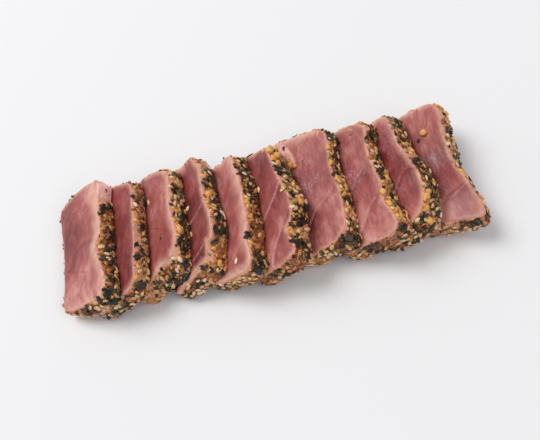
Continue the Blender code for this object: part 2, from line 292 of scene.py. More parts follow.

# one entry per slice, from the left end of the row. Along a slice, y is the part's own; up a
# cut face, the first number of a pair is counted from its lower edge.
#   tone     0 pale to 1 deep red: at the back, in the middle and at the near end
#   low      what is added to it at the lower edge: partly the flesh's own, partly painted shade
#   moist    glossier coat and pale painted sheen
#   wet      spots that are wetter, with more gloss and more painted sheen: place, radius and how much
#   red      spots of bright red: place and radius
#   deeper   spots that are deeper red, or paler where the amount is negative: place, radius and how much
#   sear     how brown the sides are                     lip     bare strip below the cut face
#   bands    cooked rims on the raised, near, back and low sides: strength and width
#   seams    lines between muscles: how plain each is, and how far the near muscle stands up;
#            paler is how much paler that one is
#   notches  dents in the edge: place, radius and depth            flap     line of a raised fold
#   bare     spots with no crust: place and radius     raw      spots that aren't seared either
#   raised, under   crust on the raised side from the back end, near the cut face and below
#   near, back      crust on the ends, from the raised side; the near ends carry extra dark flakes and
#                   darker sear, partly the crust's own and partly painted shade
#   crumbs   large golden crumbs on the raised side: part of the way from the back end to the
#            near one, part of the way down from the cut face, radius and tone
#   flakes   large dark flakes, placed in the same way, and their radius
sliceLooks = [
    dict(tone=(0.54, 0.82, 0.33), low=0.22, moist=0.12, sear=0.42, lip=0.9, paler=0.25,
         deeper=[((8, 10), 8.0, 0.35), ((6, -20), 8.0, -0.35), ((14, -11), 6.0, -0.3), ((28, 24), 8.0, -1.3)],
         bands=dict(raised=(1.0, 4.0), near=(0.8, 3.2), back=(0.7, 1.8), low=(0.5, 0.8)),
         seams=[(0.15, 0.12, [(22.5, 0.5), (16, 2.5), (13, 1.5), (8, -0.5), (4.5, -5)])],
         cracks=[[(2.5, -7), (10, -10.5), (18, -13.5)]],
         notches=[((25, 29), 1.3, 5.0)], bare=[((28, 25), 6.5), ((26, 31), 6.0)], raw=[((29, 26), 7.0)],
         raised="bare bare bare dark rust rust rust rust brown rust brown dark",
         under="bare bare dark rust rust brown brown dark dark seed seed dark",
         near="dark dark seed brown gold", back="bare bare brown dark",
         crumbs=[(0.44, 0.2, 1.6, 0.45), (0.36, 0.4, 1.4, 0.50), (0.52, 0.3, 1.4, 0.45), (0.79, 0.3, 1.5, 0.40)],
         flakes=[(0.28, 0.4, 2.6), (0.72, 0.6, 1.8), (0.87, 0.5, 2.0), (0.95, 0.2, 2.9)]),
    dict(tone=(0.72, 0.90, 0.94), low=0.34, moist=0.12, sear=0.12, lip=1.6, paler=0.0,
         bands=dict(raised=(0.34, 1.4), near=(0.6, 1.6), back=(0.6, 1.6), low=(0.1, 0.8)),
         raised="gold brown rust dark rust bare bare bare rust herb gold dark",
         under="gold brown rust rust rust dark dark rust herb herb gold dark",
         near="dark dark herb seed", back="bare brown gold brown",
         crumbs=[(0.36, 0.4, 1.4, 0.45), (0.80, 0.3, 1.5, 0.15), (0.86, 0.2, 1.4, 0.10), (0.16, 0.3, 1.3, 0.35)],
         flakes=[(0.26, 0.25, 2.4), (0.49, 0.6, 2.4), (0.66, 0.3, 2.3), (0.94, 0.2, 2.6)]),
    dict(tone=(0.52, 0.46, 0.80), low=0.18, moist=0.08, sear=0.22, lip=1.7, paler=0.0,
         bands=dict(raised=(0.8, 1.8), near=(1.0, 2.8), back=(0.8, 1.6), low=(0.1, 0.8)), cracks=[[(16, 0), (21, -3), (26.5, -6.5)]],
         raised="gold gold herb dark herb gold gold gold dark bare bare herb",
         under="gold dark gold herb dark dark dark herb dark dark herb herb",
         near="herb dark herb gold", back="gold gold brown bare",
         crumbs=[(0.65, 0.25, 2.5, 0.12), (0.23, 0.7, 1.5, 0.35), (0.49, 0.35, 1.5, 0.08), (0.43, 0.2, 1.3, 0.12)],
         flakes=[(0.30, 0.28, 2.0), (0.51, 0.75, 2.2), (0.60, 0.85, 2.2), (0.74, 0.2, 2.4), (0.78, 0.6, 2.4),
                 (0.88, 0.4, 2.0)]),
    dict(tone=(0.78, 0.94, 1.04), low=0.80, moist=0.15, sear=0.27, lip=1.5, paler=0.1,
         wetSheen=[((21, -3), 5.0, 0.35)],
         deeper=[((16, 6), 6.0, 0.50)],
         bands=dict(raised=(0.7, 1.5), near=(0.8, 2.2), back=(0.9, 2.4), low=(0.1, 0.8)),
         seams=[(0.65, 0.35, [(29, 3.5), (25.5, 1), (17.5, -3.5)]),
                (0.75, 0.45, [(23.5, -17), (19.5, -19.5), (13, -22)])], notches=[((23.5, 27.5), 2.2, -2.8)], bare=[((23, 27), 5.0)],
         raised="bare bare herb herb dark gold gold seed dark herb bare rust",
         under="bare rust dark dark dark dark seed dark dark rust rust rust",
         near="gold rust dark seed", back="bare bare gold gold",
         crumbs=[(0.41, 0.3, 2.0, 0.15), (0.37, 0.6, 1.3, 0.40), (0.53, 0.4, 1.5, 0.12), (0.92, 0.4, 1.9, 0.25),
                 (0.82, 0.3, 1.5, 0.30)],
         flakes=[(0.25, 0.6, 1.9), (0.32, 0.3, 2.3), (0.46, 0.5, 2.1), (0.61, 0.4, 1.6), (0.73, 0.3, 2.6),
                 (0.69, 0.7, 2.3)]),
    dict(tone=(0.34, 0.54, 0.66), low=0.62, moist=0.10, sear=0.42, lip=1.3, paler=0.1,
         wetSheen=[((20, 5), 9.0, 0.40)],
         bands=dict(raised=(1.0, 3.2), near=(1.0, 3.0), back=(0.8, 2.0), low=(0.1, 0.8)),
         seams=[(0.5, 0.3, [(26, -19.5), (21.5, -22), (17.5, -25)])],
         notches=[((17, 24.5), 1.0, 1.8)],
         raised="gold gold brown dark brown gold gold rust rust gold rust dark",
         under="rust dark seed dark dark brown brown rust rust rust brown dark",
         near="dark seed gold dark", back="bare bare brown gold",
         crumbs=[(0.49, 0.2, 1.7, 0.12), (0.35, 0.9, 1.6, 0.35), (0.11, 0.3, 1.6, 0.45), (0.58, 0.3, 1.4, 0.25),
                 (0.80, 0.5, 1.6, 0.35)],
         flakes=[(0.14, 0.7, 2.5), (0.24, 0.8, 2.0), (0.33, 0.6, 2.3), (0.73, 0.06, 1.7), (0.96, 0.4, 2.7),
                 (0.90, 0.6, 2.1)]),
    dict(tone=(0.92, 0.86, 0.54), low=0.85, moist=0.20, sear=0.28, lip=0.9, paler=0.2,
         wetSheen=[((24, -7), 6.0, 0.35)],
         bands=dict(raised=(0.4, 1.1), near=(0.6, 1.6), back=(0.8, 1.8), low=(0.1, 0.8)),
         seams=[(0.85, 0.5, [(28.5, 2.5), (24.5, -2), (15, -10)]),
                (0.95, 0.6, [(24.5, -18.5), (20, -23.5), (15.5, -30.5)])],
         cracks=[[(21.5, 22), (19, 19.5), (18.5, 14)]],
         raised="gold gold gold dark bare herb herb seed dark gold dark dark",
         under="gold gold dark herb gold dark gold dark dark gold herb dark",
         near="dark rust dark rust", back="gold gold brown bare",
         crumbs=[(0.03, 0.2, 2.3, 0.12), (0.08, 0.1, 2.4, 0.05), (0.12, 0.4, 2.3, 0.10), (0.17, 0.2, 2.1, 0.15),
                 (0.21, 0.35, 1.8, 0.10), (0.41, 0.9, 1.7, 0.15), (0.48, 0.02, 1.4, 0.15), (0.56, 0.6, 1.7, 0.15),
                 (0.79, 0.2, 1.6, 0.15)],
         flakes=[(0.27, 0.3, 2.4), (0.31, 0.1, 1.8), (0.38, 0.5, 1.7), (0.53, 0.3, 2.4), (0.61, 0.85, 3.0),
                 (0.72, 0.6, 2.9), (0.89, 0.4, 2.6)]),
    dict(tone=(0.40, 0.74, 0.36), low=0.05, moist=0.35, sear=0.25, lip=0.9, paler=0.1,
         wetSheen=[((14, 1), 7.5, 0.65), ((13, 14), 6.0, 0.3)],
         deeper=[((6, -6), 5.0, 0.35)],
         bands=dict(raised=(0.4, 1.2), near=(0.6, 1.4), back=(1.0, 2.6), low=(0.3, 1.2)),
         seams=[(0.9, 0.5, [(26, -5.5), (21.5, -7.5), (15, -10.5), (11.5, -14.5)])],
         bare=[((3, 26), 4.5), ((8, 21), 3.0)], flap=[(4.5, 33), (7.5, 27), (9.2, 22), (9.6, 18)],
         raised="gold dark gold gold gold dark gold gold dark gold seed dark",
         under="dark dark herb dark dark seed gold herb dark gold seed dark",
         near="dark dark seed gold", back="gold gold bare bare",
         crumbs=[(0.29, 0.1, 1.7, 0.05), (0.39, 0.1, 1.6, 0.05), (0.56, 0.1, 2.0, 0.15), (0.58, 0.6, 2.3, 0.05),
                 (0.66, 0.3, 1.6, 0.10), (0.75, 0.4, 1.5, 0.12)],
         flakes=[(0.18, 0.35, 2.5), (0.48, 0.4, 2.1), (0.52, 0.3, 1.6), (0.71, 0.6, 1.7), (0.94, 0.3, 3.1)]),
    dict(tone=(0.46, 0.82, 0.22), low=1.00, moist=0.35, sear=0.28, lip=0.9, paler=0.2,
         wetSheen=[((18, -1), 6.0, 0.55), ((20, 12), 5.0, 0.25)],
         bands=dict(raised=(0.5, 1.2), near=(0.6, 1.8), back=(0.8, 1.7), low=(0.1, 0.8)),
         seams=[(0.7, 0.3, [(23.5, 0.5), (19, -1.5), (15.5, -4.5)]),
                (0.9, 0.6, [(25.5, -14.5), (21, -16.5), (15, -22.5), (12, -25.5)])],
         cracks=[[(25, 21), (23.5, 17)]], notches=[((25, 23), 1.6, 4.0)],
         raised="gold bare dark seed seed seed dark gold gold gold gold dark",
         under="gold dark dark seed herb dark gold herb dark dark gold dark",
         near="seed rust dark gold", back="gold gold herb herb",
         crumbs=[(0.67, 0.12, 1.9, 0.05), (0.77, 0.2, 2.0, 0.06), (0.55, 0.6, 1.7, 0.10), (0.83, 0.3, 1.6, 0.15),
                 (0.09, 0.2, 1.6, 0.25), (0.71, 0.35, 1.4, 0.25)],
         flakes=[(0.20, 0.5, 2.3), (0.51, 0.3, 2.3), (0.46, 0.5, 1.8), (0.69, 0.65, 2.1), (0.95, 0.4, 2.5)]),
    dict(tone=(0.44, 1.08, 0.38), low=0.45, moist=0.25, sear=0.22, lip=0.8, paler=0.25,
         wetSheen=[((22, 3), 4.0, 0.30), ((19, -12), 5.0, 0.4), ((22, 14), 5.5, 0.55)],
         deeper=[((19, 5), 6.0, 0.40)],
         bands=dict(raised=(0.7, 1.6), near=(0.5, 1.4), back=(1.0, 2.2), low=(0.1, 0.8)),
         seams=[(0.35, 0.7, [(29, -7.5), (27.5, -6), (23, -7.5), (18, -11), (14.5, -15)])], bare=[((28, 2), 2.5)],
         raised="gold herb herb dark gold gold dark dark seed gold gold gold",
         under="dark dark dark herb gold herb dark seed dark dark herb seed",
         near="gold dark seed dark", back="gold gold herb brown",
         crumbs=[(0.37, 0.6, 2.0, 0.08), (0.32, 0.3, 1.5, 0.12), (0.81, 0.15, 2.1, 0.08), (0.76, 0.3, 1.8, 0.10),
                 (0.87, 0.2, 1.7, 0.15), (0.93, 0.2, 2.0, 0.06), (0.46, 0.5, 1.4, 0.55)],
         flakes=[(0.03, 0.8, 2.3), (0.13, 0.4, 2.3), (0.24, 0.3, 2.5), (0.51, 0.15, 2.3), (0.57, 0.4, 2.5),
                 (0.65, 0.6, 2.1), (0.72, 0.6, 2.0)]),
    dict(tone=(0.38, 0.92, 0.62), low=0.45, moist=0.12, sear=0.15, lip=1.3, paler=0.05,
         wetSheen=[((19, -1), 6.5, 0.6)],
         # the paler spots at (5, -25) and (10, -23) are painted light, making up for the shadow that the slice
         # before throws there
         deeper=[((23, 18), 6.0, -0.15), ((5, -25), 7.0, -0.6), ((10, -23), 5.0, -1.2)],
         red=[((25, -2), 3.2), ((23.5, -8), 4.5)],
         bands=dict(raised=(0.5, 1.4), near=(0.5, 1.6), back=(0.9, 1.8), low=(0.1, 0.8)),
         seams=[(0.35, 0.3, [(26.5, -14.5), (22, -16.5), (17, -18), (12, -20.5), (7, -21.5), (1, -22)])],
         cracks=[[(23.7, 23), (22.5, 17)]], bare=[((28, 21), 3.5), ((29, -19), 6.0)],
         raised="gold brown bare bare gold seed seed herb bare bare gold bare",
         under="gold dark gold dark seed dark herb herb dark rust bare brown",
         near="rust dark gold gold rust", back="gold gold bare herb",
         crumbs=[(0.10, 0.3, 1.8, 0.15), (0.22, 0.6, 1.6, 0.20), (0.36, 0.7, 1.8, 0.15), (0.63, 0.2, 1.4, 0.02)],
         flakes=[(0.16, 0.5, 1.9), (0.33, 0.5, 2.2), (0.40, 0.9, 2.0), (0.56, 0.6, 2.0), (0.68, 0.6, 1.8)]),
]

fleshSizes = dict(
    guess=Vector((-0.6, 0.0, 0.8)),     # roughly where every cut face looks
    voxel=0.45, crease=0.75, sharp=math.radians(35),
    wallLumps=((6.0, 0.45), (2.2, 0.26), (0.9, 0.10)),      # size and height of the lumps
    faceWaves=((11.0, 0.45), (4.5, 0.16)), waveStretch=1.6,
    fibre=((1.1, 9.0, 3.0), 0.04),
    flapReach=2.4, flapRise=0.8, rawRise=1.1,
    seamWidth=0.30, seamLift=0.8, grooveWidth=0.45, grooveDepth=0.6, offset=0.3, step=0.5,
    liftReach=8.0, paleReach=12.8,
    crackWidth=0.5, crackDepth=0.16, crackTone=0.16,
    toneParts=(0.12, 0.5, 0.88), lowReach=(2.0, 16.0),
    bandWander=(0.45, 5.0), rim=0.5, backRim=1.0, rimStrength=0.8,
)


def facing(mesh, guess):
    # area-weighted normal of the faces that look roughly along the guess
    total = Vector((0.0, 0.0, 0.0))
    for face in mesh.polygons:
        if face.normal.dot(guess) > 0.85 * guess.length:
            total += face.normal * face.area
    total.y = 0.0
    return total.normalized()


def distanceToLine(spots, line):
    # distance of each spot from a broken line, and on which side of it the spot lies
    best = np.full(len(spots), 1e9)
    side = np.zeros(len(spots))
    for start, end in zip(line, line[1:]):
        start, end = np.array(start, dtype=float), np.array(end, dtype=float)
        run = end - start
        t = np.clip(((spots - start) @ run) / (run @ run), 0.0, 1.0)
        gap = spots - (start + t[:, None] * run)
        distance = np.hypot(gap[:, 0], gap[:, 1])
        closer = distance < best
        best[closer] = distance[closer]
        side[closer] = (run[0] * gap[closer, 1] - run[1] * gap[closer, 0])
    return best, side


def refineSlice(number):
    # a smooth, evenly meshed copy of one slice
    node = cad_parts[f"slice_{number:02d}"]
    flesh = bpy.data.objects.new(f"tuna_slice_{number:02d}", node.data.copy())
    bpy.context.scene.collection.objects.link(flesh)
    pick(flesh)
    bpy.ops.object.mode_set(mode='EDIT')
    bpy.ops.mesh.select_all(action='SELECT')
    bpy.ops.mesh.remove_doubles(threshold=0.00001)
    bpy.ops.mesh.tris_convert_to_quads()
    bpy.ops.mesh.select_all(action='DESELECT')
    bpy.ops.mesh.edges_select_sharp(sharpness=fleshSizes["sharp"])
    bpy.ops.transform.edge_crease(value=fleshSizes["crease"])
    bpy.ops.object.mode_set(mode='OBJECT')
    applyModifier(flesh, 'SUBSURF', levels=2, render_levels=2)
    applyModifier(flesh, 'REMESH', mode='VOXEL', voxel_size=fleshSizes["voxel"] * mm)
    return flesh


class Slice:
    # where things are on one slice: up its cut face, along it and below the face
    def __init__(self, number, looks, flesh):
        self.number = number
        self.looks = dict(plainLooks, **looks)
        self.flesh = flesh
        self.normal = np.array(facing(flesh.data, fleshSizes["guess"]))
        self.up = np.array((self.normal[2], 0.0, -self.normal[0]))
        self.measure()

    def measure(self):
        self.points = readPoints(self.flesh.data)
        self.normals = readNormals(self.flesh.data)
        self.smoothNormals = self.normals
        turned = self.normals @ self.normal
        self.top = smoothStep(0.55, 0.85, turned)
        self.under = smoothStep(0.55, 0.85, -turned)
        self.wall = 1.0 - self.top - self.under
        ys = self.points[:, 1]
        raw = self.points @ self.up
        onTop = self.top > 0.9
        self.bins = np.arange(ys.min(), ys.max(), 2.0)
        lows = [raw[onTop & (abs(ys - y) < 2.0)].min(initial=1e9) for y in self.bins]
        self.lowLine = np.minimum(lows, np.median(lows) + 2.5)
        self.ups = raw - np.interp(ys, self.bins, self.lowLine)
        self.nearEnd, self.backEnd = ys.min(), ys.max()
        self.depths = self.points @ self.normal
        self.spots = np.column_stack((self.ups, ys))
        self.width = self.ups[onTop].max()

    def away(self, spot):
        # distance of every point from a place on the cut face, or on the edge below it
        return np.hypot(self.spots[:, 0] - spot[0], self.spots[:, 1] - spot[1])

    def around(self, spot, radius):
        # 1 at a place, and nearly 0 at twice the radius from it
        return np.exp(-(self.away(spot) / radius) ** 2)

    def blank(self, value=0.0):
        return np.full(len(self.points), value)

    def plantFaceTree(self):
        onTop = np.flatnonzero(self.top > 0.6)
        self.faceTree = kdtree.KDTree(len(onTop))
        for index in onTop:
            self.faceTree.insert(Vector(self.points[index]), int(index))
        self.faceTree.balance()

    def fromFace(self, point):
        # how far a point of a side is from the cut face
        return self.faceTree.find(Vector(point))[2]

    def topPlace(self, up, y):
        # the vertex of the cut face nearest to a place on it
        gap = np.hypot(self.ups - up, self.points[:, 1] - y) + 50.0 * (self.top < 0.5)
        index = int(gap.argmin())
        return self.points[index], self.normals[index]

    def raisedPlace(self, along, down):
        # a vertex of the raised side, this far from the back end and down from the cut face
        y = self.backEnd - along * (self.backEnd - self.nearEnd)
        gap = abs(self.points[:, 1] - y) + 100.0 * (self.normals @ self.up < 0.5)
        near = np.flatnonzero(gap < gap.min() + 1.0)
        order = near[np.argsort(-self.points[near] @ self.normal)]
        index = order[int(down * (len(order) - 1))]
        return self.points[index], self.normals[index]


def waveFace(cut):
    # waves and fibres of the cut face
    sizes = fleshSizes
    rise = lumps(np.column_stack((cut.spots, cut.depths)), sizes["fibre"][0], cut.number) * sizes["fibre"][1]
    for size, height in sizes["faceWaves"]:
        stretched = (size, size * sizes["waveStretch"], size)
        rise += lumps(cut.points, stretched, cut.number + size) * height
    return rise


def liftMuscles(cut):
    # the near muscle stands up along each seam, past a groove
    sizes = fleshSizes
    rise = cut.blank()
    cut.seam, cut.pale = cut.blank(), cut.blank()
    for plain, lift, line in cut.looks["seams"]:
        distance, side = distanceToLine(cut.spots, line)
        across = np.where(side < 0.0, distance, -distance)      # positive on the near muscle
        near = smoothStep(-sizes["step"], sizes["step"], across)
        hump = near * np.exp(-(distance / sizes["liftReach"]) ** 2)
        groove = np.exp(-((across + sizes["offset"]) / sizes["grooveWidth"]) ** 2)
        rise += sizes["seamLift"] * lift * (hump - sizes["grooveDepth"] * groove)
        line = plain * np.exp(-((across - sizes["offset"]) / sizes["seamWidth"]) ** 2)
        cut.seam = np.maximum(cut.seam, line * (cut.top > 0.5))
        muscle = near * np.exp(-(distance / sizes["paleReach"]) ** 2)
        cut.pale = np.maximum(cut.pale, muscle * (cut.top > 0.5))
    return rise


def pressCracks(cut):
    sizes = fleshSizes
    cut.crack = cut.blank()
    for line in cut.looks["cracks"]:
        distance, side = distanceToLine(cut.spots, line)
        cut.crack = np.maximum(cut.crack, np.exp(-(distance / sizes["crackWidth"]) ** 2))
    return -sizes["crackDepth"] * cut.crack


def raiseFlap(cut):
    sizes = fleshSizes
    cut.flap = cut.blank()
    if cut.looks["flap"]:
        distance, side = distanceToLine(cut.spots, cut.looks["flap"])
        cut.flap = smoothStep(sizes["flapReach"] + 0.4, sizes["flapReach"] - 0.4, distance)
    return sizes["flapRise"] * cut.flap


def shapeSlice(cut):
    # lumps on the seared sides, everything on the cut faces, and dents in their edges
    points = cut.points.copy()
    for size, height in fleshSizes["wallLumps"]:
        bulge = lumps(cut.points, size, cut.number + size) * height * cut.wall
        points += cut.normals * bulge[:, None]
    for spot, radius in cut.looks["raw"]:
        swell = fleshSizes["rawRise"] * cut.around(spot, 0.6 * radius) * cut.wall
        points += cut.normals * swell[:, None]
    rise = waveFace(cut) + liftMuscles(cut) + pressCracks(cut) + raiseFlap(cut)
    points += (rise * cut.top)[:, None] * cut.normal
    middle = np.array((cut.width / 2, (cut.nearEnd + cut.backEnd) / 2))
    for spot, radius, depth in cut.looks["notches"]:
        inward = (middle - spot) / np.hypot(*(middle - spot))
        pull = depth * cut.around(spot, radius)
        points += pull[:, None] * (inward[0] * cut.up + inward[1] * np.array((0.0, 1.0, 0.0)))
    points[:, 2] = np.maximum(points[:, 2], 0.0)
    writePoints(cut.flesh.data, points)
    cut.points, cut.normals = points, readNormals(cut.flesh.data)
    cut.plantFaceTree()


# for each word of a slice's lists: pieces per square millimetre of crust, how much browner the
# crust itself is than the slice's own sear, and how dark the seeds and crumbs are
crustWords = {
    "raw":   dict(seed=0.0, flake=0.0, herb=0.005, crumb=0.0, fine=0.03, toast=-0.45, tone=0.45),
    "bare":  dict(seed=0.02, flake=0.005, herb=0.03, crumb=0.04, fine=0.10, toast=-0.15, tone=0.45),
    "dark":  dict(seed=0.07, flake=0.28, herb=0.12, crumb=0.05, fine=0.20, toast=0.55, tone=0.45),
    "gold":  dict(seed=0.13, flake=0.02, herb=0.07, crumb=0.26, fine=0.30, toast=0.12, tone=0.34),
    "seed":  dict(seed=0.20, flake=0.07, herb=0.10, crumb=0.05, fine=0.16, toast=0.30, tone=0.30),
    "rust":  dict(seed=0.06, flake=0.02, herb=0.04, crumb=0.30, fine=0.40, toast=0.25, tone=0.62),
    "brown": dict(seed=0.06, flake=0.07, herb=0.06, crumb=0.18, fine=0.36, toast=0.50, tone=0.78),
    "herb":  dict(seed=0.09, flake=0.09, herb=0.40, crumb=0.06, fine=0.18, toast=0.25, tone=0.36),
}
hiddenWords = "seed gold dark rust seed herb brown gold dark seed rust"
crustPatch = dict(size=3.2, swing=1.7, upper=3.8)      # crowded and empty patches


def sideOf(cut, normal):
    # which side of the slice a wall belongs to
    if abs(normal[1]) > 0.6:
        return "near" if normal[1] < 0.0 else "back"
    return "raised" if normal @ cut.up > 0.0 else "low"


def wordAt(cut, point, normal):
    # the word that says what the crust is made of at this place
    up = float(point @ cut.up) - float(np.interp(point[1], cut.bins, cut.lowLine))
    for word in ("raw", "bare"):
        if any(math.dist((up, point[1]), spot) < radius for spot, radius in cut.looks[word]):
            return word
    wander = 0.05 * noise.noise(Vector(point / 4.0))
    if normal @ cut.up > 0.5:
        words = cut.looks["raised" if cut.fromFace(point) < crustPatch["upper"] else "under"].split()
        part = (cut.backEnd - point[1]) / (cut.backEnd - cut.nearEnd)
    elif normal[1] < -0.45:
        words = cut.looks["near"].split()
        part = 1.0 - up / cut.width
    elif normal[1] > 0.45 and point[2] > 0.45 * cut.points[:, 2].max():
        words = cut.looks["back"].split()
        part = 1.0 - up / cut.width
    else:
        words = hiddenWords.split()
        part = 0.5 + 0.8 * noise.noise(Vector(point / 9.0) + Vector((7.0, 3.0, cut.number)))
    part = min(0.999, max(0.0, part + wander))
    return words[int(part * len(words))]


def paintRims(cut, walls):
    # cooked bands, and thin golden edges, round the cut faces
    sizes = fleshSizes
    tree = kdtree.KDTree(len(walls))
    for index in walls:
        tree.insert(Vector(cut.points[index]), int(index))
    tree.balance()
    band, edge = cut.blank(), cut.blank()
    swing, size = sizes["bandWander"]
    for index in np.flatnonzero(cut.wall <= 0.5):
        nearest, distance = tree.find(Vector(cut.points[index]))[1:]
        side = sideOf(cut, cut.normals[nearest])
        strength, width = cut.looks["bands"][side]
        width *= 1.0 + swing * noise.noise(Vector(cut.points[index] / size))
        band[index] = strength * math.exp(-(distance / width) ** 2)
        rim = sizes["backRim"] if side == "back" else sizes["rim"]
        edge[index] = sizes["rimStrength"] * math.exp(-(distance / rim) ** 2)
    return np.maximum(band, cut.flap), edge


def paintTone(cut):
    # how deep a red the flesh is
    sizes, looks = fleshSizes, cut.looks
    part = (cut.points[:, 1] - cut.nearEnd) / (cut.backEnd - cut.nearEnd)
    tone = np.interp(part, sizes["toneParts"], looks["tone"][::-1])
    # deeper red towards the lower edge: partly the flesh's own, partly painted shade under the slice before
    tone += looks["low"] * (1.0 - smoothStep(*sizes["lowReach"], cut.ups))
    tone += sizes["crackTone"] * cut.crack - looks["paler"] * cut.pale
    for spot, radius, amount in looks["deeper"]:
        tone += amount * cut.around(spot, radius)
    return tone


def paintToast(cut, walls):
    # how brown the seared sides are under the crust
    looks = cut.looks
    toast = cut.blank(0.3)
    for index in walls:
        word = wordAt(cut, cut.points[index], cut.normals[index])
        below = smoothStep(0.4 * looks["lip"], 1.8 * looks["lip"], cut.fromFace(cut.points[index]))
        toast[index] = (looks["sear"] + crustWords[word]["toast"]) * (0.15 + 0.85 * below)
    return toast


def paintSlice(cut):
    # write what the flesh material reads
    walls = np.flatnonzero(cut.wall > 0.5)
    band, edge = paintRims(cut, walls)
    red = cut.blank()
    for spot, radius in cut.looks["red"]:
        red = np.maximum(red, cut.around(spot, radius))
    # how glossy the coat is; it also sets how much painted sheen and glint the face gets
    moist = cut.blank(cut.looks["moist"])
    for spot, radius, amount in cut.looks["wetSheen"]:
        moist += amount * cut.around(spot, radius)
    seared = cut.wall.copy()
    for spot, radius in cut.looks["raw"]:
        seared *= smoothStep(0.75 * radius, radius, cut.away(spot))
    band = np.maximum(band, 2.0 * (cut.wall - seared))
    place = np.column_stack((cut.spots, cut.depths - 60.0 * cut.number))
    fields = dict(onSlice=place, tone=paintTone(cut), band=band, edge=edge, seam=cut.seam, wall=seared,
                  toast=paintToast(cut, walls), moist=moist, red=red)
    for name, values in fields.items():
        writeAttribute(cut.flesh.data, name, values)


def makeSlice(number, looks, finish):
    flesh = refineSlice(number)
    cut = Slice(number, looks, flesh)
    shapeSlice(cut)
    paintSlice(cut)
    flesh.data.materials.clear()
    flesh.data.materials.append(finish)
    pick(flesh)
    bpy.ops.object.shade_smooth()
    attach(flesh, "root")
    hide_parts(f"slice_{number:02d}")
    print(f"slice {number}: {len(flesh.data.polygons)} faces, {len(cut.points)} points")
    return cut


def wallTriangles(cut):
    mesh = cut.flesh.data
    mesh.calc_loop_triangles()
    corners = np.empty(len(mesh.loop_triangles) * 3, dtype=np.int32)
    mesh.loop_triangles.foreach_get("vertices", corners)
    corners = corners.reshape(-1, 3)
    return corners[(cut.wall[corners] > 0.45).all(axis=1)]


def scatter(cut, kind, spacing, shift, chance, dice):
    # places on the crust, no two nearer than the spacing, kept as often as the words say;
    # the shift gives each kind patches of its own
    corners = wallTriangles(cut)
    a, b, c = (cut.points[corners[:, i]] for i in range(3))
    areas = np.linalg.norm(np.cross(b - a, c - a), axis=1) / 2.0
    most = max(words[kind] for words in crustWords.values())
    count = int(areas.sum() * most * 1.6)
    chosen = chance.choice(len(areas), size=count, p=areas / areas.sum())
    u, v = chance.random(count), chance.random(count)
    flip = u + v > 1.0
    u[flip], v[flip] = 1.0 - u[flip], 1.0 - v[flip]
    places = a[chosen] + u[:, None] * (b - a)[chosen] + v[:, None] * (c - a)[chosen]
    normals = cut.smoothNormals[corners[chosen, 0]]
    taken = {}
    spots = []
    kept = cut.reserved if kind != "fine" else []
    for place, normal in zip(places, normals):
        if place[2] < 0.5:
            continue
        word = wordAt(cut, place, normal)
        patch = 1.0 + crustPatch["swing"] * noise.noise(Vector(place / crustPatch["size"]) + shift)
        if dice.random() > crustWords[word][kind] * patch / most / 1.2:
            continue
        if cut.fromFace(place) < cut.looks["lip"] * dice.uniform(0.5, 1.3):
            continue
        if any(np.linalg.norm(place - middle) < radius for middle, radius in kept):
            continue
        cell = tuple(int(value // spacing) for value in place)
        around = [taken.get((cell[0] + i, cell[1] + j, cell[2] + k))
                  for i in (-1, 0, 1) for j in (-1, 0, 1) for k in (-1, 0, 1)]
        if any(other is not None and np.linalg.norm(other - place) < spacing for other in around):
            continue
        taken[cell] = place
        spots.append(dict(place=place, normal=normal, word=word))
    return spots


def turnFor(normal, tilt, dice):
    # turns a shape's z to the normal, tipped a little and spun round it
    spin = Matrix.Rotation(dice.uniform(0, math.tau), 3, 'Z')
    wish = Vector(normal) + Vector([dice.uniform(-tilt, tilt) for i in range(3)])
    return np.array(wish.to_track_quat('Z', 'Y').to_matrix() @ spin)


def addPiece(pieces, shape, place, normal, size, tone, tilt, dice):
    pieces.append(dict(shape=shape, place=place, size=size, tone=min(1.0, max(0.0, tone)),
                       turn=turnFor(normal, tilt, dice)))


def between(dice, limits):
    # a random number for each pair of limits
    return np.array([dice.uniform(low, high) for low, high in limits])


crustRoom = np.array((1.5, 0.95, 0.4))      # how far the crust may stand out of the solids' box


def sow(name, shapes, spots, material):
    # every copy of a few small shapes, joined into one piece
    verts, faces, tones, grains = [], [], [], []
    first = 0
    low = np.array(cadBox[0]) / mm - crustRoom
    high = np.array(cadBox[1]) / mm + crustRoom
    for spot in spots:
        points, polygons = shapes[spot["shape"]]
        placed = (points * spot["size"]) @ spot["turn"].T + spot["place"]
        placed[:, 2] += max(0.0, 0.02 - placed[:, 2].min())
        if (placed < low).any() or (placed > high).any():
            continue
        verts.append(placed)
        faces.extend(tuple(first + corner for corner in polygon) for polygon in polygons)
        tones.append(np.full(len(placed), spot["tone"]))
        grains.append(points * spot["size"] + 13.7 * (len(verts) % 97))
        first += len(placed)
    mesh = bpy.data.meshes.new(name)
    mesh.from_pydata((np.concatenate(verts) * mm).tolist(), [], faces)
    piece = bpy.data.objects.new(name, mesh)
    bpy.context.scene.collection.objects.link(piece)
    writeAttribute(mesh, "tone", np.concatenate(tones))
    writeAttribute(mesh, "grain", np.concatenate(grains))
    mesh.materials.append(material)
    pick(piece)
    bpy.ops.object.shade_smooth()
    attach(piece, "root")
    print(f"{name}: {len(verts)} pieces, {sum(len(face) - 2 for face in faces)} triangles")
    return piece


def takeShape(piece):
    # read a modelled shape's points and faces, then remove it
    pick(piece)
    bpy.ops.object.transform_apply(location=True, rotation=True, scale=True)
    points = np.array([vertex.co[:] for vertex in piece.data.vertices])
    faces = [tuple(face.vertices) for face in piece.data.polygons]
    bpy.data.objects.remove(piece, do_unlink=True)
    return points, faces


